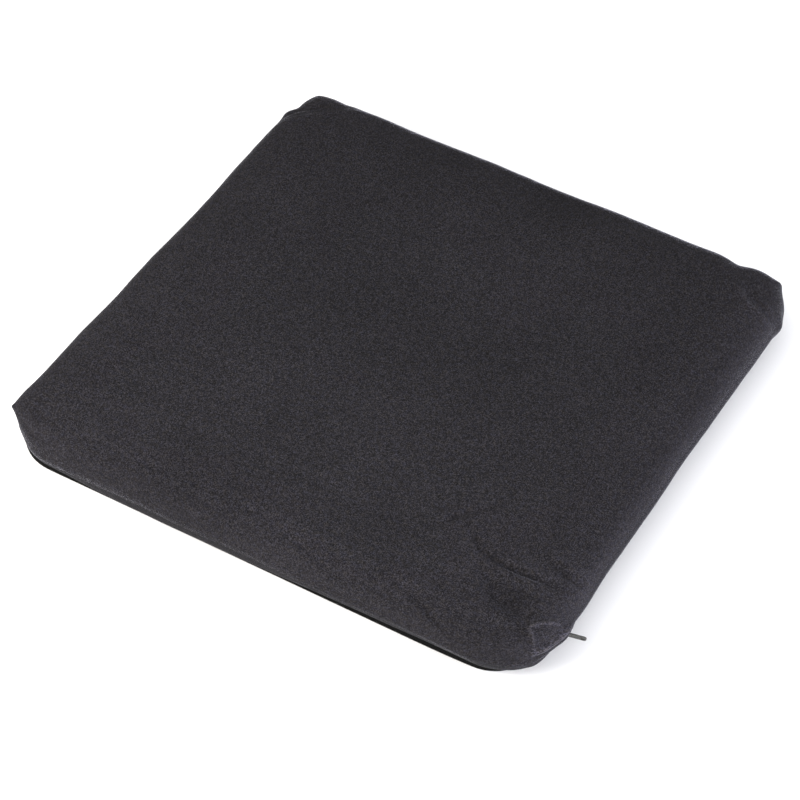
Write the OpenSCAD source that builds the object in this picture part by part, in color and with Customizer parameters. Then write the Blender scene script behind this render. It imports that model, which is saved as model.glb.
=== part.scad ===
// Square kneeling pad: a foam core in a zipped cloth cover.
// Millimetres. The origin is at the centre of the base face, +Z is up, the front side faces -Y
// and the zip runs along the right side, which faces +X.

/* [Pad] */
// Side of the square pad
pad_side = 450; // [400:10:560]
// Height of the pad on the floor
pad_height = 40; // [36:1:60]
// Radius of the pad's corners in plan
corner_radius = 46; // [44:1:70]
// Radius of the soft top edge
edge_radius = 16; // [12:1:18]

/* [Cover] */
// Thickness of the cover's cloth
cloth = 1.2; // [1:0.1:1.5]
// Radius at which the sides turn in below the widest line
tuck_radius = 20; // [18:1:26]
// Height of the cover's hem above the floor
hem_height = 9; // [8:0.5:10]
// How far the base panel stands up inside the hem
hem_overlap = 4; // [3:0.5:6]
// How far the base panel's wall sits in from the widest line
base_inset = 7.5; // [6.5:0.5:8.5]
// Radius of the base panel's lower edge
base_radius = 5; // [4:0.5:6]
// Free play between the foam and the cloth
foam_gap = 0.3; // [0.2:0.1:1]

/* [Zip] */
// Height of the zip's centre line above the floor
zip_height = 12; // [12:0.5:13]
// Half the width of the slot that the zip fills
slot_half = 4; // [4:0.1:4.4]
// Width of each tape
tape_width = 11; // [8:0.5:12]
// Thickness of the tapes
tape_thickness = 0.6; // [0.5:0.1:0.8]
// Width of each row of coil
coil_width = 1.5; // [1.2:0.1:1.6]
// Thickness of the coil
coil_thickness = 2; // [1.6:0.1:2.2]
// Gap between the two rows of coil, where the slider's post travels
coil_gap = 1; // [0.9:0.1:1.2]

/* [Slider and pull tab] */
// Length of the slider
slider_length = 9; // [8:0.5:10]
// Thickness of each slider plate
plate = 1; // [0.8:0.1:1.2]
// Clearance between a slider plate and what it slides over
plate_gap = 0.3; // [0.2:0.05:0.4]
// Length of the pull tab from its pivot to its tip
tab_length = 17; // [16:0.5:30]
// Width of the pull tab
tab_width = 3.4; // [3.2:0.1:4]
// Thickness of the pull tab
tab_thickness = 1.2; // [1:0.1:1.3]
// Angle at which the pull tab stands off square, towards the back
tab_rest_angle = 12; // [-60:1:60]

/* [Thread] */
// Radius of the sewing thread
thread_radius = 0.3; // [0.2:0.05:0.4]

/* [Hidden] */
$fn = 96;
EPS = 0.01;

// Plan: the corner axes stand at (+-corner_axis, +-corner_axis), and a profile's x is
// the distance out from that axis or from the straight line between two of them.
corner_axis = pad_side / 2 - corner_radius;
wide_height = pad_height - edge_radius;
base_reach = corner_radius - base_inset;
base_top = hem_height + hem_overlap;

// Zip: how its ends and edges stand back from what they are sewn to
tape_end_setback = 0.5;
tape_overrun = 2.5;
coil_end_setback = 7.7;
tape_setback = 0.3;
facing_height = 6;
slider_clearance = 0.5;

// Zip, from the inside out along +X
wall_inside = corner_axis + base_reach - cloth;
tape_back = wall_inside - tape_thickness;
coil_front = wall_inside + coil_thickness;
slot_low = zip_height - slot_half;
slot_high = zip_height + slot_half;
tape_half_length = corner_axis - tape_end_setback;
slot_half_length = tape_half_length - tape_overrun;
coil_half_length = slot_half_length - coil_end_setback;
tape_edge = coil_gap / 2 + tape_setback;
tape_low = max(base_radius, zip_height - tape_edge - tape_width);
row_offset = (coil_gap + coil_width) / 2;
foam_relief = tape_back - plate_gap - plate - slider_clearance;
foam_relief_high = slot_high + facing_height + slider_clearance;

// End stops, crimped round the tape's edge
stop_length = 2;
stop_gap = 0.3;
stop_back = 0.4;
stop_front = 0.2;
stop_rim = 0.3;

// Slider, at its closed place near the front
slider_y = -(coil_half_length - stop_gap - slider_length / 2);
inner_plate_x = tape_back - plate_gap - plate;
outer_plate_x = coil_front + plate_gap;
slider_lip = 1.4;
slider_half_width = coil_gap / 2 + coil_width + slider_lip;
plate_corner = 1.2;
flange = 0.5;
flange_reach = 1.6;
post_length = 2.4;
post_width = 0.7;
post_corner = 0.3;
post_setback = 0.4;
bail_half_length = 3.2;
bail_leg = 1;
bail_width = 1.6;
bail_opening = 1.8;
bail_top = 1;
bail_corner = 1;

// Pull tab, with its pivot bar in the bail's opening
bar_radius = 0.6;
pivot_x = outer_plate_x + plate + bail_opening / 2;
fork_length = 4.2;
fork_gap = bail_width + 0.4;
eye_length = 3.4;
eye_width = 1.3;
eye_margin = 1.1;
groove_depth = 0.25;
groove_width = 1.6;
groove_margin = 1.3;

// Thread: how far the rows stand from the zip's slot, and how deep the corner stitches lie
stitch_above = 2;
stitch_below = 1.5;
corner_stitch = 6;
corner_stitch_depth = cloth - 0.2;

// Sweeps a side profile round the pad, from the corner axes outwards
module round_pad() {
    for (quarter = [0:3]) rotate(90 * quarter) {
        rotate([90, 0, 0])
            translate([corner_axis, 0, -corner_axis]) linear_extrude(2 * corner_axis) children();
        translate([corner_axis, corner_axis, 0]) rotate_extrude(angle = 90) children();
    }
}

// Fills the middle of the pad, between the four corner axes
module pad_middle(low, high) {
    translate([-corner_axis, -corner_axis, low])
        cube([2 * corner_axis, 2 * corner_axis, high - low]);
}

// Quarter of a disc of the given radius, in the corner from (x, z) outwards, up or down
module quarter_disc(x, z, radius, up) {
    intersection() {
        translate([x, z]) circle(radius);
        translate([x, up ? z : z - radius]) square(radius);
    }
}

// Half section of the upper pad, set in from its outer surface, from low up
module upper_section(inset, low) {
    edge_x = corner_radius - edge_radius;
    tuck_x = corner_radius - tuck_radius;
    quarter_disc(edge_x, wide_height, edge_radius - inset, true);
    translate([0, wide_height]) square([edge_x, edge_radius - inset]);
    intersection() {
        quarter_disc(tuck_x, wide_height, tuck_radius - inset, false);
        translate([tuck_x, low]) square([tuck_radius, wide_height - low]);
    }
    translate([0, low]) square([tuck_x, wide_height - low]);
}

// Half section of the base panel's outside, set in from its surface, up to a height
module base_section(inset, high) {
    arc_x = base_reach - base_radius;
    quarter_disc(arc_x, base_radius, base_radius - inset, false);
    translate([0, inset]) square([arc_x, base_radius - inset]);
    translate([0, base_radius]) square([base_reach - inset, high - base_radius]);
}

// Block along the right side, centred in y
module right_block(x_low, x_high, z_low, z_high, half_length) {
    translate([x_low, -half_length, z_low])
        cube([x_high - x_low, 2 * half_length, z_high - z_low]);
}

// Cushion foam, cut back behind the zip
module foam_core() {
    inset = cloth + foam_gap;
    shelf = base_top + foam_gap;
    color("gainsboro") difference() {
        union() {
            round_pad() {
                base_section(inset, shelf);
                upper_section(inset, shelf);
            }
            pad_middle(inset, pad_height - inset);
        }
        right_block(foam_relief, pad_side / 2 + EPS, base_radius - EPS,
            foam_relief_high, tape_half_length + foam_gap);
    }
}

// Cover of dark cloth: top and sides in one, open below, with its hem turned in
module top_cover() {
    color([0.2, 0.2, 0.21]) {
        difference() {
            union() {
                round_pad() {
                    difference() {
                        upper_section(0, hem_height);
                        upper_section(cloth, hem_height - 1);
                        translate([0, hem_height - 1]) square([base_reach, hem_overlap + 1]);
                    }
                    intersection() {
                        upper_section(0, hem_height);
                        translate([base_reach, hem_height]) square([base_inset, cloth]);
                    }
                }
                pad_middle(pad_height - cloth, pad_height);
            }
            right_block(wall_inside, pad_side / 2 + 1, hem_height - 1, slot_high, slot_half_length);
        }
        zip_facing();
    }
}

// The cover's edge above the zip, turned in and up along the tape
module zip_facing() {
    right_block(wall_inside, wall_inside + cloth, slot_high, slot_high + facing_height,
        slot_half_length);
    intersection() {
        right_block(wall_inside, pad_side / 2, slot_high, slot_high + cloth, slot_half_length);
        rotate([90, 0, 0]) translate([corner_axis, 0, -corner_axis])
            linear_extrude(2 * corner_axis) upper_section(cloth / 2, hem_height);
    }
}

// Black base panel: a shallow tray with a rounded lower edge
module base_panel() {
    color([0.05, 0.05, 0.05]) difference() {
        union() {
            round_pad() difference() {
                base_section(0, base_top);
                base_section(cloth, base_top + 1);
            }
            pad_middle(0, cloth);
        }
        right_block(wall_inside - EPS, pad_side / 2, slot_low, base_top + 1, slot_half_length);
    }
}

// Zip tapes, sewn behind the cover's facing and behind the base panel's wall
module zip_tape_upper() {
    color([0.08, 0.08, 0.08]) right_block(tape_back, wall_inside, zip_height + tape_edge,
        min(zip_height + tape_edge + tape_width, slot_high + facing_height), tape_half_length);
}

module zip_tape_lower() {
    color([0.08, 0.08, 0.08]) right_block(tape_back, wall_inside, tape_low,
        zip_height - tape_edge, tape_half_length);
}

// One row of coil on the tape's face, with rounded long edges
module coil_row(side) {
    row_middle = zip_height + side * row_offset;
    rounding = coil_width / 2;
    translate([wall_inside, 0, row_middle]) rotate([90, 0, 0])
        linear_extrude(2 * coil_half_length, center = true) {
            translate([0, -rounding]) square([coil_thickness - rounding, coil_width]);
            translate([coil_thickness - rounding, 0]) circle(rounding);
        }
}

module zip_coil_upper() {
    color([0.1, 0.1, 0.1]) coil_row(1);
}

module zip_coil_lower() {
    color([0.1, 0.1, 0.1]) coil_row(-1);
}

// Stops that the slider meets when the zip is closed, one on each row
module zip_top_stops() {
    color([0.55, 0.55, 0.53]) for (side = [-1, 1])
        translate([tape_back - stop_back, -coil_half_length - stop_length,
            zip_height + side * row_offset - coil_width / 2]) difference() {
                cube([stop_back + tape_thickness + coil_thickness + stop_front, stop_length,
                    coil_width]);
                translate([stop_back, -1, side > 0 ? stop_rim : -EPS])
                    cube([tape_thickness, stop_length + 2, coil_width - stop_rim + EPS]);
            }
}

// Stop at the far end of the zip, across both rows
module zip_bottom_stop() {
    color([0.55, 0.55, 0.53]) translate([wall_inside, coil_half_length, zip_height])
        translate([0, 0, -coil_gap / 2 - coil_width])
            cube([coil_thickness, stop_length, coil_gap + 2 * coil_width]);
}

// Rounded oblong in the slider's face, centred
module plate_outline(length, width, radius) {
    square([length, width - 2 * radius], center = true);
    square([length - 2 * radius, width], center = true);
    for (x = [-1, 1], y = [-1, 1])
        translate([x * (length / 2 - radius), y * (width / 2 - radius)]) circle(radius);
}

// Lays a shape drawn along the zip (x along +Y, y along +Z) on a plane of constant x
module across_zip(x, thickness) {
    translate([x, slider_y, zip_height]) rotate([90, 0, 90])
        linear_extrude(thickness) children();
}

// Slider: two plates joined by a post, side flanges and a bail for the pull tab
module zip_slider() {
    width = 2 * slider_half_width;
    color([0.35, 0.35, 0.34]) {
        across_zip(inner_plate_x, plate) plate_outline(slider_length, width, plate_corner);
        across_zip(outer_plate_x, plate) plate_outline(slider_length, width, plate_corner);
        across_zip(inner_plate_x + plate, outer_plate_x - inner_plate_x - plate)
            translate([-slider_length / 2 + post_setback + post_length / 2, 0])
                plate_outline(post_length, post_width, post_corner);
        for (side = [-1, 1])
            across_zip(outer_plate_x - flange_reach, flange_reach)
                translate([0, side * (slider_half_width - flange / 2)])
                    square([slider_length - 2 * plate_corner, flange], center = true);
        bail();
    }
}

// Arched bridge along the slider's outer plate
module bail() {
    height = bail_opening + bail_top;
    translate([outer_plate_x + plate, slider_y, zip_height - bail_width / 2])
        linear_extrude(bail_width) difference() {
            union() {
                translate([0, -bail_half_length])
                    square([height - bail_corner, 2 * bail_half_length]);
                translate([0, -bail_half_length + bail_corner])
                    square([height, 2 * (bail_half_length - bail_corner)]);
                for (side = [-1, 1])
                    translate([height - bail_corner, side * (bail_half_length - bail_corner)])
                        circle(bail_corner);
            }
            translate([-EPS, -bail_half_length + bail_leg])
                square([bail_opening + EPS, 2 * (bail_half_length - bail_leg)]);
        }
}

// Side view of the pull tab along +X from its pivot: fork, neck and round tip with an eye
module tab_outline() {
    half = tab_width / 2;
    difference() {
        union() {
            translate([0, -half]) square([tab_length - half, tab_width]);
            translate([tab_length - half, 0]) circle(half);
        }
        translate([-EPS, -fork_gap / 2]) square([fork_length + EPS, fork_gap]);
        for (end = [0, 1])
            translate([tab_length - eye_margin - eye_width / 2 - end * (eye_length - eye_width), 0])
                circle(eye_width / 2);
        translate([tab_length - eye_margin - eye_length + eye_width / 2, -eye_width / 2])
            square([eye_length - eye_width, eye_width]);
    }
}

// Pull tab, with its pivot bar through the bail
module zip_pull_tab() {
    groove_start = fork_length + groove_margin;
    groove_end = tab_length - eye_margin - eye_length - groove_margin;
    color([0.45, 0.45, 0.43]) translate([pivot_x, slider_y, zip_height]) rotate(tab_rest_angle) {
        difference() {
            rotate([90, 0, 0])
                linear_extrude(tab_thickness, center = true) tab_outline();
            for (face = [-1, 1])
                translate([groove_start,
                    face > 0 ? tab_thickness / 2 - groove_depth : -tab_thickness / 2 - 1,
                    -groove_width / 2])
                    cube([groove_end - groove_start, groove_depth + 1, groove_width]);
        }
        cylinder(r = bar_radius, h = tab_width, center = true);
    }
}

// Thread of the sewn corners, on the bisector of each corner
module corner_thread() {
    color([0.12, 0.12, 0.13]) for (quarter = [0:3])
        rotate(90 * quarter) translate([corner_axis, corner_axis, 0]) rotate(45)
            translate([corner_radius - corner_stitch_depth, 0, wide_height - corner_stitch / 2])
                cylinder(r = thread_radius, h = corner_stitch);
}

// Thread that joins the hem to the base panel, along the joint between the two
module hem_thread() {
    height = hem_height + cloth / 2;
    color([0.12, 0.12, 0.13]) for (quarter = [0:3]) rotate(90 * quarter) {
        if (quarter > 0)
            translate([corner_axis + base_reach, corner_axis, height]) rotate([90, 0, 0])
                cylinder(r = thread_radius, h = 2 * corner_axis);
        translate([corner_axis, corner_axis, 0]) rotate_extrude(angle = 90)
            translate([base_reach, height]) circle(thread_radius);
    }
}

// Straight thread along the zip, half in the tape and half in what it is sewn to
module zip_thread(height) {
    color([0.12, 0.12, 0.13]) translate([wall_inside, 0, height]) rotate([90, 0, 0])
        cylinder(r = thread_radius, h = 2 * slot_half_length, center = true);
}

module zip_thread_upper() {
    zip_thread(slot_high + stitch_above);
}

module zip_thread_lower() {
    zip_thread(slot_low - stitch_below);
}

foam_core();
top_cover();
base_panel();
zip_tape_upper();
zip_tape_lower();
zip_coil_upper();
zip_coil_lower();
zip_top_stops();
zip_bottom_stop();
zip_slider();
zip_pull_tab();
corner_thread();
hem_thread();
zip_thread_upper();
zip_thread_lower();
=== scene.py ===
"""Kneeling pad: a foam block in a zipped cover of dark brushed cloth.

Each operator makes one piece, or a group of like pieces, around the pad's own frame. The pad lies
on the floor with its centre at the origin, its front side faces -Y and its zip faces +X.
"""

import math

import bmesh
import bpy
import numpy as np
from mathutils import Matrix, Vector, noise
from mathutils.bvhtree import BVHTree


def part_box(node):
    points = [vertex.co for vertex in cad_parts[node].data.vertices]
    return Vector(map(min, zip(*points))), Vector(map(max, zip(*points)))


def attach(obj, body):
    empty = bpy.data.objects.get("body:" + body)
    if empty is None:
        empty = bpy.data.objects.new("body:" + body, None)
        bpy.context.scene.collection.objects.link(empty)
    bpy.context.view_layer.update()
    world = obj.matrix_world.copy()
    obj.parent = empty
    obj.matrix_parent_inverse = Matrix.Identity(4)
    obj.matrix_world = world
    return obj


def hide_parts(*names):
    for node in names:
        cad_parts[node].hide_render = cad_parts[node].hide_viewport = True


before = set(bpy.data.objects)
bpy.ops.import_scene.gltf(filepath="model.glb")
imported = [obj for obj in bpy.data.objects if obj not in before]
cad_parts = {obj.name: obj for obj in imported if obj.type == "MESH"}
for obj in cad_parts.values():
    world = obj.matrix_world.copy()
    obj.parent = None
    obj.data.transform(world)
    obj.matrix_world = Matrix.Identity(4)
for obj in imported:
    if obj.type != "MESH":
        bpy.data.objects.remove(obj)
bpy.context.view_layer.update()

bl_info = {
    "name": "Kneeling Pad",
    "version": (1, 0, 0),
    "blender": (4, 5, 0),
    "location": "View3D > Sidebar > Kneeling Pad",
    "description": "Builds a zipped foam kneeling pad, piece by piece",
    "category": "Add Mesh",
}

MM = 0.001

COVER_LOW, COVER_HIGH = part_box("top_cover")
BASE_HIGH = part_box("base_panel")[1]
TAPE_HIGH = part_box("zip_tape_upper")[1]
COIL_UPPER_LOW, COIL_UPPER_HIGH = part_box("zip_coil_upper")
COIL_LOWER_LOW, COIL_LOWER_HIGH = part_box("zip_coil_lower")
ZIP_THREAD_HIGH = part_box("zip_thread_upper")[1]

PAD_HALF = COVER_HIGH.x
PAD_TOP = COVER_HIGH.z
HEM = COVER_LOW.z
BASE_HALF = BASE_HIGH.y
TAPE_FACE = TAPE_HIGH.x
ZIP_MIDDLE = (COIL_UPPER_LOW.z + COIL_LOWER_HIGH.z) / 2
SLOT_HALF_LENGTH = ZIP_THREAD_HIGH.y
# Distance from the pad's centre to the axes of its corners, along x and along y
CORNER_CENTRE = 179 * MM
# How much lower the base panel's wall is behind the zip
ZIP_CUT = 5 * MM


class PadSettings(bpy.types.PropertyGroup):
    """Sizes and colours of the pad that a user would change."""

    corner_radius: bpy.props.FloatProperty(
        name="Corner radius",
        description="Radius of the pad's corners in plan",
        default=46 * MM,
        unit="LENGTH",
    )
    edge_radius: bpy.props.FloatProperty(
        name="Edge radius",
        description="Radius of the soft top edge",
        default=13.5 * MM,
        unit="LENGTH",
    )
    tuck_radius: bpy.props.FloatProperty(
        name="Tuck radius",
        description="Radius at which the sides turn in towards the hem",
        default=26 * MM,
        unit="LENGTH",
    )
    cloth_thickness: bpy.props.FloatProperty(
        name="Cloth thickness",
        description="Thickness of the cover's cloth",
        default=0.9 * MM,
        unit="LENGTH",
    )
    crown: bpy.props.FloatProperty(
        name="Crown",
        description="The furthest that the foam may push the cloth out",
        default=2.2 * MM,
        unit="LENGTH",
    )
    cloth_colour: bpy.props.FloatVectorProperty(
        name="Cloth colour",
        description="Colour of the cover's cloth",
        subtype="COLOR",
        size=3,
        default=(0.0122, 0.0114, 0.0134),
    )
    base_colour: bpy.props.FloatVectorProperty(
        name="Base colour",
        description="Colour of the base panel",
        subtype="COLOR",
        size=3,
        default=(0.0028, 0.0028, 0.0028),
    )
    metal_colour: bpy.props.FloatVectorProperty(
        name="Metal colour",
        description="Colour of the slider and the pull tab",
        subtype="COLOR",
        size=3,
        default=(0.2, 0.2, 0.19),
    )


class StageSettings(bpy.types.PropertyGroup):
    """Where the camera stands and how bright the studio is."""

    azimuth: bpy.props.FloatProperty(
        name="Azimuth",
        description="Turn of the camera from the front towards the right side",
        default=math.radians(28.75),
        subtype="ANGLE",
    )
    elevation: bpy.props.FloatProperty(
        name="Elevation",
        description="Height of the camera above the horizon",
        default=math.radians(46.39),
        subtype="ANGLE",
    )
    roll: bpy.props.FloatProperty(
        name="Roll",
        description="Turn of the camera about its own view line",
        default=math.radians(1.99),
        subtype="ANGLE",
    )
    distance: bpy.props.FloatProperty(
        name="Distance",
        description="Distance from the camera to what it looks at",
        default=2.235,
        unit="LENGTH",
    )
    lens: bpy.props.FloatProperty(
        name="Lens",
        description="Focal length in millimetres",
        default=132.35,
    )
    daylight: bpy.props.FloatProperty(
        name="Daylight",
        description="Strength of the even white light all round",
        default=1.45,
    )


# ---------------------------------------------------------------------------
# Small helpers
# ---------------------------------------------------------------------------


def settings():
    return bpy.context.scene.pad_settings


def new_object(name, bm, smooth=True):
    """A mesh object at the origin from a bmesh."""
    mesh = bpy.data.meshes.new(name)
    bm.to_mesh(mesh)
    bm.free()
    mesh.polygons.foreach_set("use_smooth", [smooth] * len(mesh.polygons))
    piece = bpy.data.objects.new(name, mesh)
    bpy.context.scene.collection.objects.link(piece)
    return piece


def read_points(mesh):
    points = np.empty(len(mesh.vertices) * 3)
    mesh.vertices.foreach_get("co", points)
    return points.reshape(-1, 3)


def read_normals(mesh):
    normals = np.empty(len(mesh.vertices) * 3)
    mesh.vertices.foreach_get("normal", normals)
    return normals.reshape(-1, 3)


def write_points(mesh, points):
    mesh.vertices.foreach_set("co", points.ravel())
    mesh.update()


def smooth_step(value, low, high):
    """0 below low, 1 above high, and an even curve between."""
    t = np.clip((value - low) / (high - low), 0.0, 1.0)
    return t * t * (3.0 - 2.0 * t)


def bump(distance, width):
    """1 on a line, falling off to nothing a few widths away."""
    return np.exp(-((distance / width) ** 2))


def apply_modifiers(piece):
    """Replaces the piece's mesh with what its modifiers make of it."""
    graph = bpy.context.evaluated_depsgraph_get()
    mesh = bpy.data.meshes.new_from_object(piece.evaluated_get(graph))
    old = piece.data
    mesh.name = old.name
    piece.modifiers.clear()
    piece.data = mesh
    bpy.data.meshes.remove(old)


def add_cloth_wall(piece):
    """Gives a sheet the cloth's thickness, on its inner side."""
    wall = piece.modifiers.new("cloth_wall", "SOLIDIFY")
    wall.thickness = settings().cloth_thickness
    wall.offset = -1.0


# ---------------------------------------------------------------------------
# Materials
# ---------------------------------------------------------------------------


class Nodes:
    """A material's node tree, with short calls to add and join nodes."""

    def __init__(self, name):
        self.material = bpy.data.materials.new(name)
        self.material.use_nodes = True
        self.tree = self.material.node_tree
        self.shader = self.tree.nodes["Principled BSDF"]

    def add(self, kind, **values):
        node = self.tree.nodes.new(kind)
        for key, value in values.items():
            if key in node.inputs:
                node.inputs[key].default_value = value
            else:
                setattr(node, key, value)
        return node

    def join(self, out, into):
        self.tree.links.new(out, into)

    def math(self, operation, first, second):
        node = self.add("ShaderNodeMath", operation=operation)
        for socket, value in zip(node.inputs, (first, second)):
            if isinstance(value, (int, float)):
                socket.default_value = value
            else:
                self.join(value, socket)
        return node.outputs[0]

    def noise(self, vector, scale, detail=2.0, roughness=0.5):
        node = self.add("ShaderNodeTexNoise", Scale=scale, Detail=detail, Roughness=roughness)
        self.join(vector, node.inputs["Vector"])
        return node.outputs["Fac"]

    def ramp(self, value, stops):
        node = self.add("ShaderNodeValToRGB")
        elements = node.color_ramp.elements
        while len(elements) < len(stops):
            elements.new(0.5)
        for element, (place, colour) in zip(elements, stops):
            element.position = place
            element.color = (*colour, 1.0)
        self.join(value, node.inputs["Fac"])
        return node.outputs["Color"]

    def bump_from(self, height, distance, strength=1.0, normal=None):
        node = self.add("ShaderNodeBump", Distance=distance, Strength=strength)
        self.join(height, node.inputs["Height"])
        if normal is not None:
            self.join(normal, node.inputs["Normal"])
        return node.outputs["Normal"]

    def wave(self, vector, direction, **values):
        """Even bands, such as the threads of a cloth."""
        node = self.add("ShaderNodeTexWave", wave_type="BANDS", bands_direction=direction, **values)
        self.join(vector, node.inputs["Vector"])
        return node.outputs["Fac"]

    def set(self, **values):
        """Sets the shader's constants; an underscore in a name stands for a space."""
        for name, value in values.items():
            self.shader.inputs[name.replace("_", " ")].default_value = value

    def finish(self, tone, bump):
        """Joins the colour and the bump to the shader, and returns the material."""
        self.join(tone, self.shader.inputs["Base Color"])
        self.join(bump, self.shader.inputs["Normal"])
        return self.material


def shade(colour, factor):
    return tuple(min(1.0, channel * factor) for channel in colour)


THREAD_PITCH = 0.78 * MM
# Shares of the tone of the single yarns, the fine fibres and the slow clouds
YARN_SHARE, FIBRE_SHARE, CLOUD_SHARE = 0.5, 0.35, 0.15
WARM_DYE, COOL_DYE = (1.05, 1.0, 0.88), (0.96, 1.0, 1.14)
SHEEN_TINT = (0.78, 0.78, 0.9, 1.0)


def cloth_material(name, colour, sheen):
    """Brushed charcoal cloth: a fine weave under short, uneven fibres."""
    nodes = Nodes(name)
    place = nodes.add("ShaderNodeUVMap", uv_map="cloth").outputs["UV"]
    solid = nodes.add("ShaderNodeTexCoord").outputs["Object"]
    crossing = nodes.add("ShaderNodeVectorMath", operation="SNAP")
    nodes.join(place, crossing.inputs[0])
    crossing.inputs[1].default_value = (THREAD_PITCH, THREAD_PITCH, 1.0)
    yarn = nodes.add("ShaderNodeTexWhiteNoise", noise_dimensions="2D")
    nodes.join(crossing.outputs["Vector"], yarn.inputs["Vector"])
    fibre = nodes.noise(place, 1100.0, 1.0, 0.6)
    cloud = nodes.noise(solid, 9.0, 3.0, 0.55)
    mixed = nodes.math("MULTIPLY", yarn.outputs["Value"], YARN_SHARE)
    for part, share in ((fibre, FIBRE_SHARE), (cloud, CLOUD_SHARE)):
        mixed = nodes.math("ADD", mixed, nodes.math("MULTIPLY", part, share))
    tone = nodes.ramp(
        mixed,
        [
            (0.25, shade(colour, 0.32)),
            (0.5, colour),
            (0.65, shade(colour, 1.6)),
            (0.78, shade(colour, 2.7)),
        ],
    )
    dye = nodes.noise(place, 260.0, 2.0, 0.6)
    dyed = nodes.add("ShaderNodeVectorMath", operation="MULTIPLY")
    nodes.join(tone, dyed.inputs[0])
    nodes.join(nodes.ramp(dye, [(0.3, WARM_DYE), (0.7, COOL_DYE)]), dyed.inputs[1])
    # This attribute scales the colour: combed nap streaks, painted highlight on ridges, painted shade in
    # folds and hollows, and painted light towards the front left
    nap_and_painted_light = nodes.add("ShaderNodeAttribute", attribute_name="nap_and_painted_light").outputs["Fac"]
    tone_with_painted_light = nodes.add("ShaderNodeVectorMath", operation="SCALE")
    nodes.join(dyed.outputs["Vector"], tone_with_painted_light.inputs[0])
    nodes.join(nodes.math("ADD", nap_and_painted_light, 1.0), tone_with_painted_light.inputs["Scale"])
    nodes.set(Roughness=0.96, Specular_IOR_Level=0.12)
    nodes.set(Sheen_Weight=sheen, Sheen_Roughness=0.16, Sheen_Tint=SHEEN_TINT)
    threads = nodes.wave(place, "DIAGONAL", Scale=330.0, Distortion=2.0, Detail=2.0)
    rough = nodes.bump_from(fibre, 0.35 * MM, 0.8)
    return nodes.finish(tone_with_painted_light.outputs["Vector"], nodes.bump_from(threads, 0.12 * MM, 0.6, rough))


def base_material(colour):
    """Black non-slip cloth of the base panel."""
    nodes = Nodes("base_cloth")
    place = nodes.add("ShaderNodeUVMap", uv_map="cloth").outputs["UV"]
    grain = nodes.noise(place, 700.0, 3.0, 0.6)
    tone = nodes.ramp(grain, [(0.3, shade(colour, 0.5)), (0.7, shade(colour, 2.2))])
    nodes.set(Roughness=0.95, Specular_IOR_Level=0.05)
    dots = nodes.add("ShaderNodeTexVoronoi", feature="F1", Scale=260.0, Randomness=0.15)
    nodes.join(place, dots.inputs["Vector"])
    raised = nodes.math("SUBTRACT", 1.0, dots.outputs["Distance"])
    grained = nodes.bump_from(grain, 0.25 * MM, 0.6)
    return nodes.finish(tone, nodes.bump_from(raised, 0.4 * MM, 0.5, grained))


def foam_material():
    """Open cell foam, pale and matt."""
    nodes = Nodes("open_cell_foam")
    place = nodes.add("ShaderNodeTexCoord").outputs["Object"]
    cells = nodes.add("ShaderNodeTexVoronoi", feature="F1", Scale=900.0)
    nodes.join(place, cells.inputs["Vector"])
    wall = cells.outputs["Distance"]
    tone = nodes.ramp(wall, [(0.1, (0.34, 0.32, 0.25)), (0.6, (0.66, 0.63, 0.53))])
    nodes.set(Roughness=0.95)
    return nodes.finish(tone, nodes.bump_from(wall, 0.8 * MM, 0.8))


def tape_material():
    """Woven black zip tape, with ribs across its width."""
    nodes = Nodes("zip_tape_weave")
    place = nodes.add("ShaderNodeTexCoord").outputs["Object"]
    ribs = nodes.wave(place, "Y", Scale=420.0, Distortion=0.6)
    mixed = nodes.math("MULTIPLY", ribs, nodes.noise(place, 1600.0))
    tone = nodes.ramp(mixed, [(0.1, (0.006, 0.006, 0.006)), (0.7, (0.03, 0.03, 0.032))])
    nodes.set(Roughness=0.8)
    return nodes.finish(tone, nodes.bump_from(ribs, 0.15 * MM, 0.7))


def nylon_material():
    """Black nylon of the zip's coil."""
    nodes = Nodes("coil_nylon")
    place = nodes.add("ShaderNodeTexCoord").outputs["Object"]
    wear = nodes.noise(place, 240.0, 3.0)
    tone = nodes.ramp(wear, [(0.35, (0.010, 0.010, 0.011)), (0.75, (0.03, 0.03, 0.032))])
    rough = nodes.math("MULTIPLY_ADD", wear, 0.3)
    nodes.join(rough, nodes.shader.inputs["Roughness"])
    return nodes.finish(tone, nodes.bump_from(wear, 0.05 * MM, 0.4))


def metal_material(name, colour, tarnish):
    """Die cast metal with a thin worn plating."""
    nodes = Nodes(name)
    place = nodes.add("ShaderNodeTexCoord").outputs["Object"]
    wear = nodes.noise(place, 420.0, 4.0, 0.6)
    grain = nodes.noise(place, 2600.0, 2.0, 0.5)
    tone = nodes.ramp(wear, [(0.3, shade(colour, tarnish)), (0.65, colour)])
    nodes.set(Metallic=1.0)
    rough = nodes.add("ShaderNodeMapRange")
    rough.inputs["To Min"].default_value = 0.28
    rough.inputs["To Max"].default_value = 0.5
    nodes.join(wear, rough.inputs["Value"])
    nodes.join(rough.outputs["Result"], nodes.shader.inputs["Roughness"])
    return nodes.finish(tone, nodes.bump_from(grain, 0.03 * MM, 0.4))


def thread_material():
    """Twisted dark sewing thread."""
    nodes = Nodes("sewing_thread")
    place = nodes.add("ShaderNodeTexCoord").outputs["Object"]
    twist = nodes.wave(place, "DIAGONAL", Scale=900.0)
    tone = nodes.ramp(twist, [(0.2, (0.012, 0.012, 0.013)), (0.8, (0.04, 0.04, 0.043))])
    nodes.set(Roughness=0.7)
    return nodes.finish(tone, nodes.bump_from(twist, 0.08 * MM, 0.6))


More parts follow.
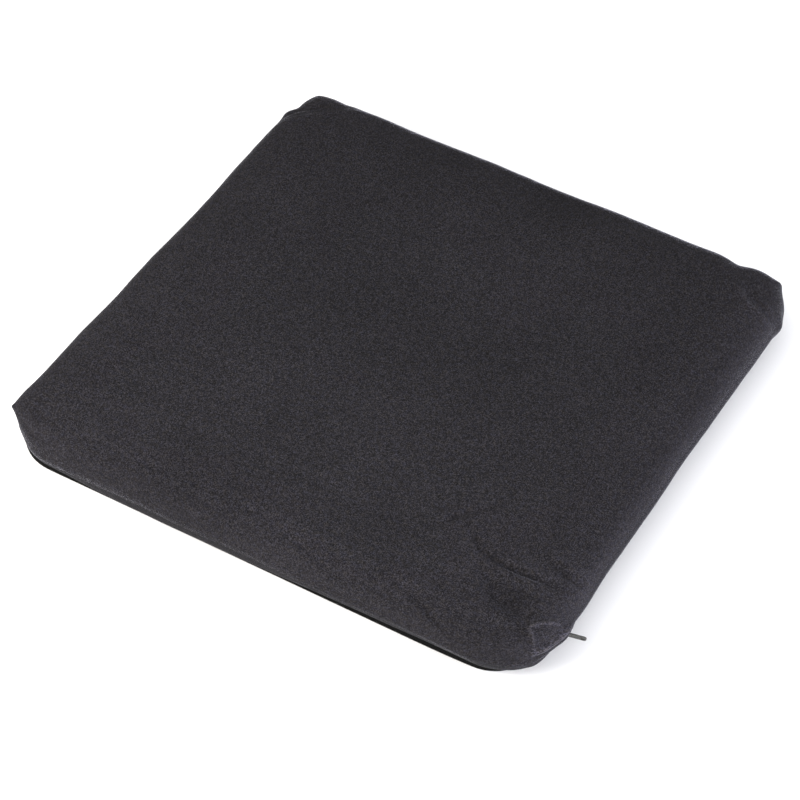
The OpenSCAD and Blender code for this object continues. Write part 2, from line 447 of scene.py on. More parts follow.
def floor_material():
    """Even, pale studio floor."""
    nodes = Nodes("studio_floor")
    place = nodes.add("ShaderNodeTexCoord").outputs["Object"]
    mottle = nodes.noise(place, 3.0)
    tone = nodes.ramp(mottle, [(0.3, (0.93, 0.93, 0.93)), (0.7, (0.95, 0.95, 0.95))])
    nodes.join(tone, nodes.shader.inputs["Base Color"])
    nodes.set(Roughness=0.9)
    return nodes.material


# ---------------------------------------------------------------------------
# The wrapped sheet: a square grid of cloth whose rings follow the pad's outline
# ---------------------------------------------------------------------------

TOP_RINGS = 42
EDGE_RINGS = 6
TUCK_RINGS = 4
HEM_RINGS = 2


def cloth_grid(rings):
    """A flat square grid, its vertices at whole numbers from -rings to rings."""
    bm = bmesh.new()
    bmesh.ops.create_grid(bm, x_segments=2 * rings, y_segments=2 * rings, size=rings)
    layer = bm.loops.layers.uv.new("cloth")
    spacing = PAD_HALF / TOP_RINGS
    for face in bm.faces:
        for loop in face.loops:
            loop[layer].uv = (loop.vert.co.x * spacing, loop.vert.co.y * spacing)
    return bm


class Rings:
    """Splits a grid's points into rings: which ring, which side and how far along the side."""

    def __init__(self, points):
        i, j = points[:, 0], points[:, 1]
        self.on_x = np.abs(i) >= np.abs(j)
        major = np.where(self.on_x, i, j)
        minor = np.where(self.on_x, j, i)
        self.ring = np.abs(major)
        self.sign = np.where(major < 0, -1.0, 1.0)
        self.along = minor / np.maximum(self.ring, 1e-9)

    def place(self, half, radius, height):
        """Points on rounded squares of the given half size, corner radius and height."""
        straight = half - radius
        run = np.abs(self.along) * (straight + radius * math.pi / 4)
        angle = np.maximum(run - straight, 0.0) / np.maximum(radius, 1e-9)
        out = straight + radius * np.cos(angle)
        aside = np.where(angle > 0, straight + radius * np.sin(angle), run)
        aside = aside * np.sign(self.along)
        out = out * self.sign
        x = np.where(self.on_x, out, aside)
        y = np.where(self.on_x, aside, out)
        return np.stack([x, y, height], axis=1)


# ---------------------------------------------------------------------------
# Cover
# ---------------------------------------------------------------------------

# Where the cloth stands out from a corner or pulls in, by corner: the bearing in degrees from the
# corner's centre, the half width in degrees, the height and its half spread in mm, and how far the
# cloth stands out in mm, then how it falls off: to a crease, to a rounded ridge or softly.
POINTED, ROUNDED, SOFT = 1.0, 1.5, 2.0
CORNER_SHAPES = {
    (-1, 1): (
        (130, 17, 30, 13, 7.8, ROUNDED),
        (157, 9, 30, 14, -1.8, SOFT),
        (172, 7, 30, 14, 1.5, SOFT),
        (98, 10, 34, 14, -1.5, SOFT),
    ),
    (1, 1): (
        (53, 12, 27, 14, 5.6, POINTED),
        (101, 18, 31, 14, -4.6, SOFT),
        (3, 9, 20, 14, 2.0, SOFT),
    ),
    (-1, -1): (
        (207, 12, 33, 7, 7.0, POINTED),
        (217, 26, 19, 11, -5.0, SOFT),
        (241, 16, 13, 8, -3.4, SOFT),
        (206, 9, 13, 6, 1.6, SOFT),
    ),
    (1, -1): (
        (330, 30, 18, 14, 1.6, SOFT),
        (8, 14, 22, 8, 3.7, SOFT),
        (0, 18, 10.5, 6.5, -5.2, SOFT),
        (290, 20, 24, 14, -3.0, SOFT),
    ),
}

# Folds in the cloth: points along the fold in mm, half width in mm and height in mm.
FOLDS = [
    # The seam allowance of the front right corner, which shows through the cloth as a flap
    (((217, -204, 28), (213, -198, 36), (207, -192, 39), (212, -185, 39)), 1.4, 1.6),
    (((208, -190, 39), (212, -185, 39), (218, -178, 36), (222, -174, 30)), 1.4, 1.6),
    (((216, -198, 33), (220, -191, 33), (223, -183, 30)), 4.0, -1.0),
    (((215, -206, 30), (221, -196, 29), (224, -184, 28), (226, -172, 27), (226, -160, 25)), 2.4, 3.0),
    (((218, -205, 21), (225, -195, 19), (229, -182, 16), (230, -168, 18)), 2.4, -1.2),
    # The hollow behind that corner, with the rolled edge round it
    (((142, -160, 40), (155, -176, 40), (168, -190, 40), (188, -196, 39), (205, -190, 39)), 4.2, 0.8),
    (((148, -158, 40), (161, -171, 40), (175, -182, 40), (194, -184, 39)), 6.0, -1.7),
    # Short folds that fan out from it
    (((130, -136, 40), (145, -150, 40), (162, -153, 40), (180, -154, 40), (213, -151, 38)), 2.4, -2.2),
    (((150, -160, 40), (167, -160, 40), (182, -159, 40), (203, -158, 40)), 3.0, 1.3),
    (((160, -148, 40), (180, -148, 40), (200, -147, 40)), 2.4, 1.5),
    (((190, -134, 40), (204, -138, 39), (219, -140, 33)), 2.4, -2.0),
    (((186, -126, 40), (204, -130, 39), (219, -132, 33)), 2.4, 1.4),
    (((172, -168, 40), (194, -168, 40), (212, -164, 38)), 2.4, -1.3),
    # A long slack fold that runs back from it towards the middle of the right side
    (((100, -152, 40), (107, -146, 40), (117, -129, 40), (129, -114, 40), (140, -95, 40)), 2.8, -1.2),
    (((104, -158, 40), (112, -148, 40), (123, -132, 40), (135, -117, 40)), 3.2, 0.6),
    (((77, -142, 40), (82, -152, 40), (90, -164, 40), (105, -166, 40)), 3.0, -0.8),
    # Streaks along the front edge
    (((-36, -200, 40), (0, -203, 40), (33, -209, 38), (62, -216, 36), (85, -220, 32)), 2.6, -1.0),
    (((-20, -206, 40), (20, -212, 38), (60, -222, 32), (90, -224, 27)), 2.6, 0.5),
    (((-140, -204, 40), (-98, -202, 40), (-58, -197, 40), (-24, -197, 40)), 2.6, -0.9),
    (((-120, -208, 39), (-70, -204, 40), (-30, -206, 40)), 2.8, 0.5),
    (((107, -204, 40), (132, -212, 38), (156, -219, 33), (172, -220, 32)), 2.4, -1.3),
    (((112, -197, 40), (135, -204, 40), (158, -209, 38), (180, -211, 37)), 3.4, 1.0),
    (((95, -188, 40), (120, -190, 40), (140, -196, 40)), 3.0, -0.8),
    # The ridge between the flat top and the ear of the back left corner, and the fold below it
    (((-219, 160, 36), (-211, 174, 40), (-188, 198, 40), (-166, 213, 38)), 2.4, 1.0),
    (((-222, 170, 33), (-209, 190, 38), (-190, 208, 38)), 2.4, -0.9),
    # Two creases across the back right corner
    (
        ((181, 188, 40), (190, 180, 40), (198, 172, 40), (206, 170, 40), (217, 168, 36), (224, 166, 28)),
        2.2,
        1.5,
    ),
    (((198, 188, 39), (212, 181, 38), (222, 175, 32)), 2.4, 0.8),
    (((190, 190, 40), (203, 180, 39), (214, 174, 38)), 3.0, -0.8),
    # The shaded fold under the ear at the front left corner, and the lump of cloth below it
    (((-207, -206, 32), (-190, -217, 34), (-178, -218, 35), (-164, -213, 38)), 2.8, -1.6),
    (((-226, -184, 19), (-219, -197, 17), (-208, -209, 16)), 3.4, 2.3),
]
# Painted light in the cloth's colour: how much lighter it is on a sharp ridge (painted highlight,
# partly rubbed nap), and darker in a sharp fold and in a hollow for each mm of depth (painted shade)
RIDGE_PAINTED_HIGHLIGHT = 0.7
FOLD_PAINTED_SHADE = 0.4
HOLLOW_PAINTED_SHADE = 0.1
# Distance in mm between the points of a fold once it lies on the cloth, and the furthest that any
# fold reaches from its own middle
FOLD_STEP = 5.0
FOLD_REACH = 110.0
# Where the cloth has small folds and its mesh is finer: centre and reach in mm
CREASED_AREAS = (
    ((205, 205, 20), 50),
    ((-205, 205, 20), 50),
    ((-205, -205, 20), 50),
    ((165, -170, 20), 92),
    ((50, -215, 40), 28),
    ((214, -188, 32), 27),
)
# Soft hollows: centre in mm, radius in mm and depth in mm
HOLLOWS = [
    ((177, -175, 38), 13.0, -2.6),
    ((160, -169, 38), 9.0, -1.6),
    ((190, -181, 38), 12.0, -2.2),
    ((60, -170, 40), 45.0, -0.6),
    ((116, -196, 40), 16.0, 0.9),
    ((20, 203, 38), 40.0, -2.4),
    ((225, 20, 18), 60.0, -0.5),
    ((225, -140, 18), 22.0, 1.6),
    ((-90, 215, 36), 60.0, -1.6),
    ((130, 215, 36), 50.0, -1.2),
    ((-216, 40, 34), 40.0, -1.0),
]
# How far the hem hangs below its even height in mm, by bearing in degrees from the pad's centre
HEM_DROPS = (
    (190, 0.0), (212, 2.5), (224, 3.5), (228, 0.0), (232, 0.0), (238, 3.5), (250, 5.0), (262, 4.5),
    (276, 3.0), (287, 0.5), (298, 0.0), (308, -2.0), (312, -1.0), (315, 2.0), (319, 2.0), (324, 0.0),
)


def lay_on_cloth(tree, line):
    """A fold's points in mm, closer together and moved onto the cloth."""
    laid = []
    for start, end in zip(line[:-1], line[1:]):
        start, end = Vector(start), Vector(end)
        pieces = max(1, round((end - start).length / FOLD_STEP))
        laid += [start.lerp(end, k / pieces) for k in range(pieces)]
    laid.append(Vector(line[-1]))
    return np.array([tree.find_nearest(point)[0] for point in laid])


def distance_to_line(points, line):
    """Distance from each point to a line of straight stretches, and how far along it from 0 to 1."""
    best = np.full(len(points), 1e9)
    share = np.zeros(len(points))
    stretches = len(line) - 1
    for number, (start, end) in enumerate(zip(line[:-1], line[1:])):
        along = end - start
        t = np.clip(((points - start) @ along) / max(along @ along, 1e-9), 0.0, 1.0)
        gap = np.linalg.norm(points - start - t[:, None] * along, axis=1)
        nearer = gap < best
        best = np.where(nearer, gap, best)
        share = np.where(nearer, (number + t) / stretches, share)
    return best, share


# A corner's shapes act between these two distances from its axis, and fade over this range of
# distances past the axis along the sides
CORNER_REACH = (16 * MM, 34 * MM)
CORNER_FADE = (-45 * MM, -5 * MM)


def shape_corners(points):
    """Moves the cloth of each corner out to its ears and in to its pinches."""
    for corner, shapes in CORNER_SHAPES.items():
        arm = points[:, :2] - CORNER_CENTRE * np.array(corner)
        reach = np.linalg.norm(arm, axis=1)
        direction = arm / np.maximum(reach, 1e-9)[:, None]
        near = smooth_step(reach, *CORNER_REACH)
        near *= smooth_step((arm * corner).min(axis=1), *CORNER_FADE)
        near *= np.where((arm * corner).max(axis=1) > 0, 1.0, 0.0)
        move = np.zeros(len(points))
        for bearing, spread, height, tall, out, power in shapes:
            angle = np.arctan2(arm[:, 1], arm[:, 0]) - math.radians(bearing)
            angle = np.abs(np.arctan2(np.sin(angle), np.cos(angle))) / math.radians(spread)
            level = (points[:, 2] - height * MM) / (tall * MM)
            move += out * MM * np.exp(-(angle**power) - level**2)
        points[:, :2] += direction * (move * near)[:, None]


SLOT_END = 10 * MM


def zip_side(points):
    """1 along the slot for the zip, 0 elsewhere, with an even curve at the slot's ends."""
    right = points[:, 0] > CORNER_CENTRE
    ends = 1.0 - smooth_step(np.abs(points[:, 1]), SLOT_HALF_LENGTH - SLOT_END, SLOT_HALF_LENGTH)
    return np.where(right, ends, 0.0)


# The turned-in hem: its gap to the base panel or to the zip's tape, and how far it turns up inside
HEM_GAP = 0.3 * MM
TAPE_GAP = 0.2 * MM
HEM_TURN = 3 * MM
# How fast the corner radius of the flat top shrinks towards its middle
TOP_RADIUS_POWER = 4


def wrap_cover(points):
    """Wraps the flat grid of cloth over the foam, down its sides and in under the hem."""
    pad = settings()
    rings = Rings(points)
    ring = rings.ring
    flat_half = PAD_HALF - pad.edge_radius
    wide = PAD_TOP - pad.edge_radius
    outline = rings.place(np.full(len(ring), PAD_HALF), np.full(len(ring), pad.corner_radius), ring)
    slot = zip_side(outline)

    turn = np.clip((ring - TOP_RINGS) / EDGE_RINGS, 0.0, 1.0) * math.pi / 2
    half = np.where(
        ring <= TOP_RINGS,
        flat_half * ring / TOP_RINGS,
        flat_half + pad.edge_radius * np.sin(turn),
    )
    height = wide + pad.edge_radius * np.cos(turn)

    down = np.clip((ring - TOP_RINGS - EDGE_RINGS) / TUCK_RINGS, 0.0, 1.0)
    slot_low = 2 * ZIP_MIDDLE - (BASE_HIGH.z - ZIP_CUT)
    drop = (wide - HEM) * (1.0 - slot) + (wide - slot_low) * slot
    tuck = np.arcsin(np.clip(down * drop / pad.tuck_radius, -1.0, 1.0))
    below = down > 0
    half = np.where(below, PAD_HALF - pad.tuck_radius * (1.0 - np.cos(tuck)), half)
    height = np.where(below, wide - pad.tuck_radius * np.sin(tuck), height)

    inward = np.clip((ring - TOP_RINGS - EDGE_RINGS - TUCK_RINGS) / HEM_RINGS, 0.0, 1.0)
    inner = (BASE_HALF + HEM_GAP) * (1.0 - slot) + (TAPE_FACE + TAPE_GAP) * slot
    half = half + (inner - half) * smooth_step(inward, 0.0, 0.5)
    height = height + HEM_TURN * smooth_step(inward, 0.4, 1.0)

    top_radius = (flat_half - CORNER_CENTRE) * (half / flat_half) ** TOP_RADIUS_POWER
    radius = np.where(half > flat_half, half - CORNER_CENTRE, top_radius)
    return rings.place(half, radius, height)


def held_points(grid_points):
    """The rings of the cloth that the hem holds in place."""
    ring = np.abs(grid_points[:, :2]).max(axis=1)
    return [int(k) for k in np.nonzero(ring >= TOP_RINGS + EDGE_RINGS + 1)[0]]


CLOTH_FRAMES = 20


def settle_cloth(piece, held, furthest):
    """Lets the foam's push swell and crease the cloth, no point further than furthest."""
    group = piece.vertex_groups.new(name="held")
    group.add(held, 1.0, "REPLACE")
    modifier = piece.modifiers.new("settle", "CLOTH")
    cloth = modifier.settings
    cloth.quality = 6
    cloth.mass = 0.12
    cloth.tension_stiffness = 12
    cloth.compression_stiffness = 12
    cloth.shear_stiffness = 4
    cloth.bending_stiffness = 0.25
    cloth.air_damping = 2.0
    cloth.vertex_group_mass = "held"
    cloth.use_pressure = True
    cloth.uniform_pressure_force = 4.0
    cloth.shrink_min = -0.006
    cloth.effector_weights.gravity = 0.0
    modifier.collision_settings.use_self_collision = False
    modifier.collision_settings.use_collision = False
    scene = bpy.context.scene
    modifier.point_cache.frame_start = 1
    modifier.point_cache.frame_end = CLOTH_FRAMES
    for number in range(1, CLOTH_FRAMES + 1):
        scene.frame_set(number)
    graph = bpy.context.evaluated_depsgraph_get()
    moved = read_points(piece.evaluated_get(graph).to_mesh())
    rest = read_points(piece.data)
    step = moved - rest
    length = np.linalg.norm(step, axis=1, keepdims=True)
    eased = furthest * np.tanh(length / furthest)
    step *= eased / np.maximum(length, 1e-9)
    piece.modifiers.clear()
    piece.vertex_groups.clear()
    write_points(piece.data, rest + step)
    scene.frame_set(1)


def slow_noise(points, scale, seed):
    """Smooth noise from -1 to 1 at each point, with bumps about 1/scale across."""
    shift = Vector((seed * 7.3, seed * 3.1, seed * 5.7))
    return np.array([noise.noise(Vector(p) * scale + shift) for p in points])


def refine(mesh, centre, reach):
    """Halves the faces within reach of a place, for the small folds there."""
    bm = bmesh.new()
    bm.from_mesh(mesh)
    near = {v for v in bm.verts if (v.co - centre).length < reach}
    edges = [e for e in bm.edges if e.verts[0] in near and e.verts[1] in near]
    bmesh.ops.subdivide_edges(bm, edges=edges, cuts=1, use_grid_fill=True, smooth=1.0)
    bm.to_mesh(mesh)
    bm.free()


# The drop of the hem acts from one distance inside the pad's side to the next, and up to a height
DROP_INSIDE = (12 * MM, 6 * MM)
DROP_HEIGHT = 12 * MM


def drop_hem(points):
    """Lets the hem hang unevenly."""
    places, drops = zip(*HEM_DROPS)
    bearing = np.degrees(np.arctan2(points[:, 1], points[:, 0])) % 360
    far, near = DROP_INSIDE
    outside = smooth_step(np.abs(points[:, :2]).max(axis=1), PAD_HALF - far, PAD_HALF - near)
    low = 1.0 - smooth_step(points[:, 2], HEM, HEM + DROP_HEIGHT)
    points[:, 2] -= np.interp(bearing, places, drops) * MM * low * outside


# Slack of the cloth in mm: on the flat top, added at the rim, and in small ripples, with their
# scales
TOP_SLACK, RIM_SLACK, RIPPLE = 0.45, 0.9, 0.25
SLACK_SCALE, RIPPLE_SCALE = 16.0, 55.0
# Heights above the hem from which the cloth starts to be loose and is quite loose
HEM_HOLD = (0.5 * MM, 6 * MM)
# How far the rim reaches in from the pad's sides
RIM = 50 * MM
# The nap is combed along the front: how many streaks a metre along each axis, how strong they
# are, and over which distances in front of the pad's middle they come in
COMBED = np.array((9.0, 150.0, 90.0))
COMBED_NAP = 0.16
COMBED_RANGE = (0.04, 0.18)
# Painted light, lighter towards the front left: how much, which way, and over which distances
FRONT_LEFT_PAINTED_LIGHT = 0.2
PAINTED_LIGHT_WAY = np.array((-0.45, -0.9))
PAINTED_LIGHT_RANGE = (-0.03, 0.14)
# Where the turned-in hem faces down, up to this height above its edge, the colour is darker (painted
# shade) and the sheen weaker
HEM_BAND = 9 * MM
HEM_PAINTED_SHADE = 0.7
BRUSHED_SHEEN, HEM_SHEEN = 0.5, 0.08


def crease_cloth(mesh):
    """Adds slack, folds and hollows to the settled cloth, and paints light and shade into its colour."""
    points = read_points(mesh)
    shape_corners(points)
    write_points(mesh, points)
    normals = read_normals(mesh)
    in_mm = points / MM
    held, free = HEM_HOLD
    loose = smooth_step(points[:, 2], HEM + held, HEM + free)
    rim = smooth_step(np.abs(points[:, :2]).max(axis=1), PAD_HALF - RIM, PAD_HALF)
    lift = (TOP_SLACK + RIM_SLACK * rim) * slow_noise(points, SLACK_SCALE, 1) * MM
    lift += RIPPLE * slow_noise(points, RIPPLE_SCALE, 2) * MM
    faces = [tuple(face.vertices) for face in mesh.polygons]
    tree = BVHTree.FromPolygons([Vector(p) for p in in_mm], faces)
    nap_and_painted_light = np.zeros(len(points))
    for line, width, height in FOLDS:
        laid = lay_on_cloth(tree, line)
        near = np.nonzero(np.linalg.norm(in_mm - laid.mean(axis=0), axis=1) < FOLD_REACH)[0]
        gap, share = distance_to_line(in_mm[near], laid)
        fade = np.sin(np.clip(share, 0.02, 0.98) * math.pi) ** 0.5
        lift[near] += height * MM * bump(gap, width) * fade
        # Painted highlight on a ridge and painted shade in a fold, stronger the steeper the fold
        painted_light = RIDGE_PAINTED_HIGHLIGHT if height > 0 else -FOLD_PAINTED_SHADE
        nap_and_painted_light[near] += painted_light * (height / width) ** 2 * bump(gap, width) * fade
    for centre, radius, depth in HOLLOWS:
        gap = np.linalg.norm(in_mm - np.array(centre), axis=1)
        lift += depth * MM * bump(gap, radius)
        # Painted shade in a hollow, painted highlight on a raised lump
        nap_and_painted_light += HOLLOW_PAINTED_SHADE * depth * bump(gap, radius)
    points += normals * (lift * loose)[:, None]
    combed = slow_noise(points * COMBED, 1.0, 4)
    nap_and_painted_light += COMBED_NAP * combed * smooth_step(-points[:, 1], *COMBED_RANGE)
    # Painted light: the colour is lighter towards the front left, the side the light comes from
    nap_and_painted_light += FRONT_LEFT_PAINTED_LIGHT * smooth_step(points[:, :2] @ PAINTED_LIGHT_WAY, *PAINTED_LIGHT_RANGE)
    drop_hem(points)
    write_points(mesh, points)
    # Stores the combed nap together with the painted light and shade
    layer = mesh.attributes.new("nap_and_painted_light", "FLOAT", "POINT")
    layer.data.foreach_set("value", nap_and_painted_light.astype(np.float32))


class PAD_OT_cover(bpy.types.Operator):
    """Adds the cover: one cloth over the top and sides, with sewn corners and a turned-in hem"""

    bl_idname = "pad.cover"
    bl_label = "Cover"

    def execute(self, context):
        bm = cloth_grid(TOP_RINGS + EDGE_RINGS + TUCK_RINGS + HEM_RINGS)
        cover = new_object("cover", bm)
        flat = read_points(cover.data)
        held = held_points(flat)
        write_points(cover.data, wrap_cover(flat))
        settle_cloth(cover, held, settings().crown)
        smooth = cover.modifiers.new("smooth", "SUBSURF")
        smooth.levels = smooth.render_levels = 1
        smooth.uv_smooth = "NONE"
        apply_modifiers(cover)
        for place, reach in CREASED_AREAS:
            refine(cover.data, Vector(place) * MM, reach * MM)
        crease_cloth(cover.data)
        add_cloth_wall(cover)
        colour = tuple(settings().cloth_colour)
        cover.data.materials.clear()
        cover.data.materials.append(cloth_material("brushed_cloth", colour, BRUSHED_SHEEN))
        # A darker copy of the cloth on the hem's downward faces: painted shade
        hem_shaded_colour = shade(colour, HEM_PAINTED_SHADE)
        cover.data.materials.append(cloth_material("hem_cloth_painted_shade", hem_shaded_colour, HEM_SHEEN))
        for face in cover.data.polygons:
            if face.center.z < HEM + HEM_BAND and face.normal.z < -0.2:
                face.material_index = 1
        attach(cover, "pad")
        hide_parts("top_cover")
        return {"FINISHED"}


# ---------------------------------------------------------------------------
# Base panel and foam
# ---------------------------------------------------------------------------

BASE_RINGS = (46, 4, 3)
BASE_EDGE_RADIUS = 5 * MM
# The base panel is pulled in at the front right corner: how far as a share of its reach, and at
# which bearing and spread in degrees from the pad's centre
BASE_PULL = 0.016
BASE_PULL_BEARING = -43.0
BASE_PULL_SPREAD = 7.0
# It starts at this share of the base panel's reach
BASE_PULL_START = 0.6


def wrap_base(points):
    """Wraps a flat grid under the foam and up round its lower edge."""
    rings = Rings(points)
    flat_rings, edge_rings, wall_rings = BASE_RINGS
    ring = rings.ring
    flat_half = BASE_HALF - BASE_EDGE_RADIUS
    full = np.full(len(ring), BASE_HALF)
    outline = rings.place(full, full - CORNER_CENTRE, ring)
    slot = zip_side(outline)
    turn = np.clip((ring - flat_rings) / edge_rings, 0.0, 1.0) * math.pi / 2
    half = np.where(
        ring <= flat_rings,
        flat_half * ring / flat_rings,
        flat_half + BASE_EDGE_RADIUS * np.sin(turn),
    )
    height = BASE_EDGE_RADIUS * (1.0 - np.cos(turn))
    up = np.clip((ring - flat_rings - edge_rings) / wall_rings, 0.0, 1.0)
    top = BASE_HIGH.z * (1.0 - slot) + (BASE_HIGH.z - ZIP_CUT) * slot
    height += up * (top - BASE_EDGE_RADIUS)
    radius = np.where(half > CORNER_CENTRE, np.clip(half - CORNER_CENTRE, 0.1 * MM, None), 0.0)
    placed = rings.place(half, radius, height)
    bearing = np.degrees(np.arctan2(placed[:, 1], placed[:, 0]))
    pull = BASE_PULL * bump(bearing - BASE_PULL_BEARING, BASE_PULL_SPREAD)
    placed[:, :2] *= (1.0 - pull * smooth_step(half, BASE_PULL_START * BASE_HALF, BASE_HALF))[:, None]
    return placed


class PAD_OT_base(bpy.types.Operator):
    """Adds the black base panel, turned up round its edge"""

    bl_idname = "pad.base"
    bl_label = "Base panel"

    def execute(self, context):
        base = new_object("base", cloth_grid(sum(BASE_RINGS)))
        write_points(base.data, wrap_base(read_points(base.data)))
        base.data.flip_normals()
        add_cloth_wall(base)
        base.data.materials.append(base_material(tuple(settings().base_colour)))
        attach(base, "pad")
        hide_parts("base_panel")
        return {"FINISHED"}


FOAM_MARGIN = 5 * MM
FOAM_EDGE_RADIUS = 8 * MM


class PAD_OT_foam(bpy.types.Operator):
    """Adds the foam block inside the cover"""

    bl_idname = "pad.foam"
    bl_label = "Foam"

    def execute(self, context):
        low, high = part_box("foam_core")
        depth = high.z - low.z - 2 * FOAM_MARGIN
        bm = bmesh.new()
        bmesh.ops.create_cube(bm, size=1.0)
        side = 2 * BASE_HALF - 4 * FOAM_MARGIN
        bmesh.ops.scale(bm, vec=(side, side, depth), verts=bm.verts)
        bmesh.ops.translate(bm, vec=(0.0, 0.0, (low.z + high.z) / 2), verts=bm.verts)
        upright = [e for e in bm.edges if abs(e.verts[0].co.z - e.verts[1].co.z) > depth / 2]
        round_edges(bm, upright, settings().corner_radius - 2 * FOAM_MARGIN, 12)
        rims = [e for e in bm.edges if e.is_manifold and e.calc_face_angle() > 1.0]
        round_edges(bm, rims, FOAM_EDGE_RADIUS, 5)
        foam = new_object("foam", bm)
        foam.data.materials.append(foam_material())
        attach(foam, "pad")
        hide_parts("foam_core")
        return {"FINISHED"}


def round_edges(bm, edges, radius, segments):
    """Rounds the edges in place."""
    bmesh.ops.bevel(
        bm,
        geom=edges,
        offset=radius,
        offset_type="OFFSET",
        segments=segments,
        profile=0.5,
        affect="EDGES",
        material=-1,
        clamp_overlap=True,
    )


# ---------------------------------------------------------------------------
# Zip
# ---------------------------------------------------------------------------

COIL_PITCH = 1.25 * MM
COIL_WIRE = 0.32 * MM
COIL_STEPS = 8
# How far each row reaches past its frame node, towards the other row
COIL_REACH = 0.1 * MM


def coil_row(name, low, high, towards, shift):
    """One row of nylon coil: a flattened helix along the zip."""
    if towards < 0:
        low = Vector((low.x, low.y, low.z - COIL_REACH))
    else:
        high = Vector((high.x, high.y, high.z + COIL_REACH))
    middle = (low + high) / 2
    wide = (high.z - low.z) / 2 - COIL_WIRE
    deep = (high.x - low.x) / 2 - COIL_WIRE
    turns = int((high.y - low.y - 2 * COIL_WIRE) / COIL_PITCH) - 1
    curve = bpy.data.curves.new(name, "CURVE")
    curve.dimensions = "3D"
    curve.bevel_depth = COIL_WIRE
    curve.bevel_resolution = 1
    curve.use_fill_caps = True
    spline = curve.splines.new("POLY")
    spline.points.add(turns * COIL_STEPS)
    start = low.y + COIL_WIRE + shift
    for step, point in enumerate(spline.points):
        turn = 2 * math.pi * step / COIL_STEPS
        point.co = (
            middle.x + deep * math.cos(turn),
            start + COIL_PITCH * step / COIL_STEPS,
            middle.z + wide * math.sin(turn),
            1.0,
        )
    line = bpy.data.objects.new(name, curve)
    bpy.context.scene.collection.objects.link(line)
    graph = bpy.context.evaluated_depsgraph_get()
    mesh = bpy.data.meshes.new_from_object(line.evaluated_get(graph))
    bpy.data.objects.remove(line)
    bpy.data.curves.remove(curve)
    mesh.polygons.foreach_set("use_smooth", [True] * len(mesh.polygons))
    row = bpy.data.objects.new(name, mesh)
    bpy.context.scene.collection.objects.link(row)
    return row


class PAD_OT_coils(bpy.types.Operator):
    """Adds the two rows of nylon coil"""

    bl_idname = "pad.coils"
    bl_label = "Zip coils"

    def execute(self, context):
        nylon = nylon_material()
        upper = coil_row("coil_upper", COIL_UPPER_LOW, COIL_UPPER_HIGH, -1, 0.0)
        lower = coil_row("coil_lower", COIL_LOWER_LOW, COIL_LOWER_HIGH, 1, COIL_PITCH / 2)
        for row, node in ((upper, "zip_coil_upper"), (lower, "zip_coil_lower")):
            row.data.materials.append(nylon)
            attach(row, "pad")
            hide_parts(node)
        return {"FINISHED"}


def rounded_copy(name, node, radius, material):
    """A copy of a frame node with its sharp edges rounded."""
    bm = bmesh.new()
    bm.from_mesh(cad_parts[node].data)
    bmesh.ops.remove_doubles(bm, verts=bm.verts, dist=0.001 * MM)
    bmesh.ops.dissolve_limit(bm, angle_limit=math.radians(0.5), verts=bm.verts, edges=bm.edges)
    piece = new_object(name, bm)
    rounding = piece.modifiers.new("rounding", "BEVEL")
    rounding.width = radius
    rounding.segments = 3
    rounding.limit_method = "ANGLE"
    rounding.angle_limit = math.radians(35)
    rounding.harden_normals = False
    apply_modifiers(piece)
    piece.data.materials.clear()
    piece.data.materials.append(material)
    piece.data.set_sharp_from_angle(angle=math.radians(40))
    return piece


class PAD_OT_slider(bpy.types.Operator):
    """Adds the zip's slider, pull tab and end stops"""

    bl_idname = "pad.slider"
    bl_label = "Zip slider, tab and stops"

    def execute(self, context):
        colour = tuple(settings().metal_colour)
        plated = metal_material("plated_tab", colour, 0.5)
        cast = metal_material("cast_slider", shade(colour, 0.6), 0.5)
        crimped = metal_material("crimped_stop", shade(colour, 0.9), 0.6)
        # Name, frame node, radius of the edges, material, body and material slot
        rows = (
            ("slider", "zip_slider", 0.16 * MM, cast, "slider", "slider_metal"),
            ("pull_tab", "zip_pull_tab", 0.12 * MM, plated, "pull_tab", "tab_metal"),
            ("top_stops", "zip_top_stops", 0.12 * MM, crimped, "pad", "stop_metal"),
            ("bottom_stop", "zip_bottom_stop", 0.2 * MM, crimped, "pad", "stop_metal"),
        )
        for name, node, radius, material, body, slot in rows:
            piece = rounded_copy(name, node, radius, material)
            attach(piece, body)
            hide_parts(node)
        return {"FINISHED"}


# Stitches in each sewn corner, the gap at their ends, their radius, and how far their middles lie
# below the cloth's face
STITCHES = 4
STITCH_GAP = 0.3 * MM
STITCH_RADIUS = 0.3 * MM
STITCH_DEPTH = 0.45 * MM


def add_stitch(bm, start, end):
    """One straight stitch of thread."""
    along = end - start
    turn = along.to_track_quat("Z", "Y").to_matrix().to_4x4()
    bmesh.ops.create_cone(
        bm,
        cap_ends=True,
        segments=8,
        radius1=STITCH_RADIUS,
        radius2=STITCH_RADIUS,
        depth=along.length,
        matrix=Matrix.Translation((start + end) / 2) @ turn,
    )


